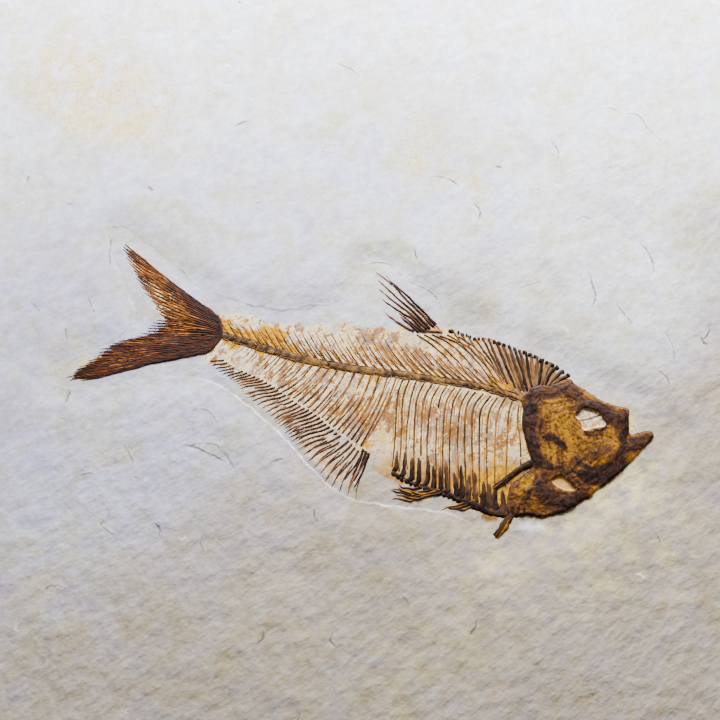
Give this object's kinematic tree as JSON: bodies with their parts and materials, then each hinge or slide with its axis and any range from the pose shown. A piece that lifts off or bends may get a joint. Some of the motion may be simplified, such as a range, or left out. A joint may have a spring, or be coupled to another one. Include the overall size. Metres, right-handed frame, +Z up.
{
  "type": "fossil fish slab",
  "caption": "Fossil herring, bones in low relief, lying in a shallow scraped pocket of a pale limestone slab.",
  "frame": {"origin": "middle of the slab's back face, which the slab lies on", "axes": "+X towards the fish's head, along the slab's long side; +Y towards the fish's back; +Z up, out of the face that holds the fish"},
  "size_m": [0.22, 0.204, 0.013],
  "materials": {
    "limestone": "matt, fine-grained, split along the bedding",
    "skull_bone": "amber and dark brown fossil bone, faint sheen",
    "backbone_bone": "brown fossil bone",
    "scute_bone": "near-black brown fossil bone",
    "fin_bone": "brown fossil bone",
    "tail_bone": "dark red-brown fossil bone",
    "dark_bone": "near-black fossil bone"
  },
  "bodies": {
    "root": {"limestone_slab": "limestone", "skull": "skull_bone", "backbone": "backbone_bone", "back_scutes": "scute_bone", "belly_scutes": "scute_bone", "dorsal_fin": "fin_bone", "anal_fin": "fin_bone", "tail_fin": "tail_bone", "pectoral_fin": "dark_bone", "pectoral_fin_far": "dark_bone", "pelvic_fin": "dark_bone", "pelvic_fin_far": "dark_bone"}
  },
  "joints": []
}
